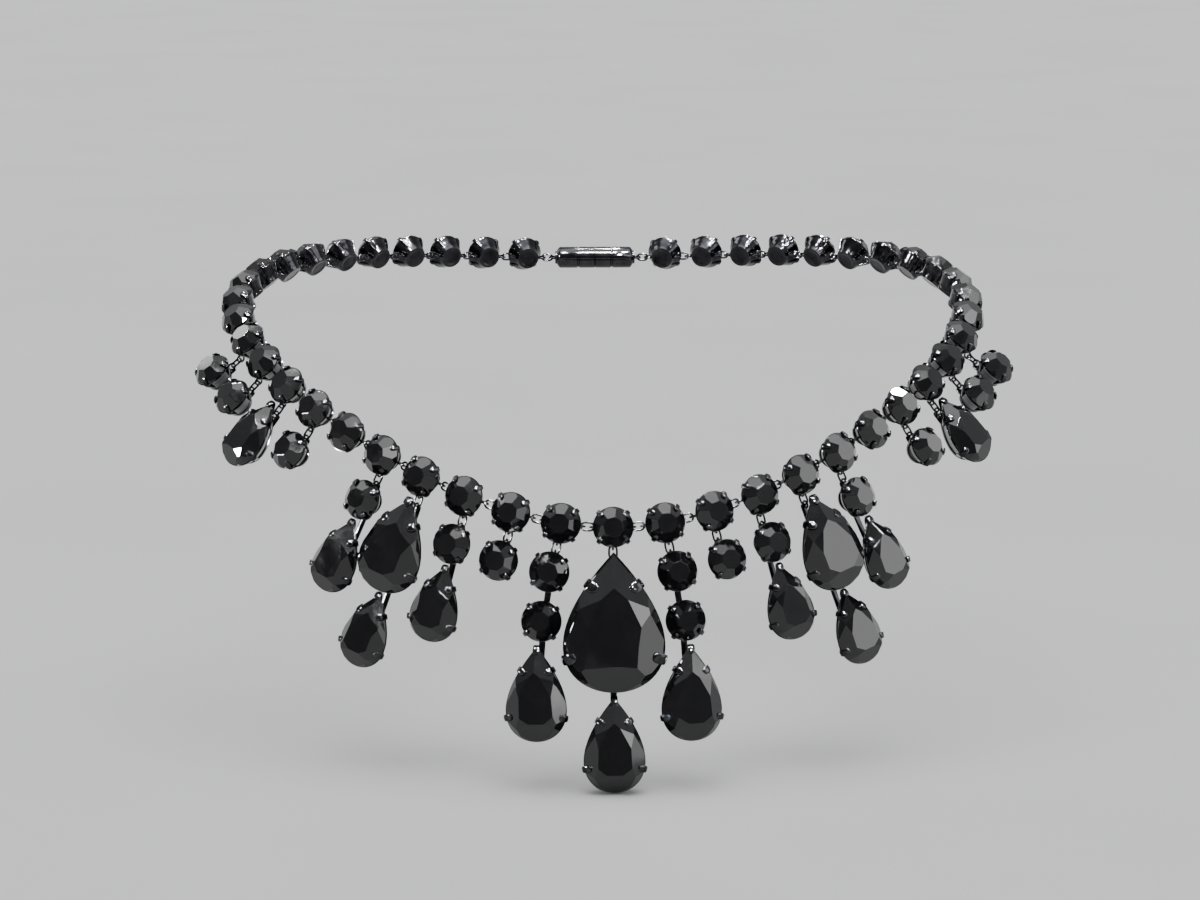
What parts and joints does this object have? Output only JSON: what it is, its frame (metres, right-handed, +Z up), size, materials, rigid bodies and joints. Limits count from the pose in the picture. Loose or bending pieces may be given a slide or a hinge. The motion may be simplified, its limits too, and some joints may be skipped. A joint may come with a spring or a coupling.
{
  "type": "rhinestone necklace",
  "caption": "Black rhinestone collar necklace: claw-set faceted round stones joined by wire links, hung with graded drops of round and pear-shaped stones, and a plain barrel clasp at the nape.",
  "frame": {"origin": "middle of the loop that goes round the neck, midway between its front and back and near the height of its middle", "axes": "+X to the right seen from the front, -Y out of the front where the large pear hangs, +Z up along the neck"},
  "size_m": [0.1578, 0.1503, 0.0833],
  "materials": {
    "gunmetal": "polished black gunmetal plating",
    "black_glass": "opaque black cut glass, polished facets"
  },
  "bodies": {
    "root": {"chain_settings": "gunmetal", "chain_stones": "black_glass", "chain_links": "gunmetal", "clasp": "gunmetal", "drop_links": "gunmetal", "drop_middle_setting": "gunmetal", "drop_middle_stone_1": "black_glass", "drop_middle_stone_2": "black_glass", "drop_left_1_setting": "gunmetal", "drop_left_1_stone_1": "black_glass", "drop_left_1_stone_2": "black_glass", "drop_left_1_stone_3": "black_glass", "drop_right_1_setting": "gunmetal", "drop_right_1_stone_1": "black_glass", "drop_right_1_stone_2": "black_glass", "drop_right_1_stone_3": "black_glass", "drop_left_2_setting": "gunmetal", "drop_left_2_stone_1": "black_glass", "drop_right_2_setting": "gunmetal", "drop_right_2_stone_1": "black_glass", "drop_left_3_setting": "gunmetal", "drop_left_3_stone_1": "black_glass", "drop_left_3_stone_2": "black_glass", "drop_right_3_setting": "gunmetal", "drop_right_3_stone_1": "black_glass", "drop_right_3_stone_2": "black_glass", "drop_left_4_setting": "gunmetal", "drop_left_4_stone_1": "black_glass", "drop_left_4_stone_2": "black_glass", "drop_right_4_setting": "gunmetal", "drop_right_4_stone_1": "black_glass", "drop_right_4_stone_2": "black_glass", "drop_left_5_setting": "gunmetal", "drop_left_5_stone_1": "black_glass", "drop_left_5_stone_2": "black_glass", "drop_right_5_setting": "gunmetal", "drop_right_5_stone_1": "black_glass", "drop_right_5_stone_2": "black_glass", "drop_left_7_setting": "gunmetal", "drop_left_7_stone_1": "black_glass", "drop_right_7_setting": "gunmetal", "drop_right_7_stone_1": "black_glass", "drop_left_8_setting": "gunmetal", "drop_left_8_stone_1": "black_glass", "drop_right_8_setting": "gunmetal", "drop_right_8_stone_1": "black_glass", "drop_left_9_setting": "gunmetal", "drop_left_9_stone_1": "black_glass", "drop_right_9_setting": "gunmetal", "drop_right_9_stone_1": "black_glass", "drop_left_10_setting": "gunmetal", "drop_left_10_stone_1": "black_glass", "drop_right_10_setting": "gunmetal", "drop_right_10_stone_1": "black_glass"}
  },
  "joints": []
}
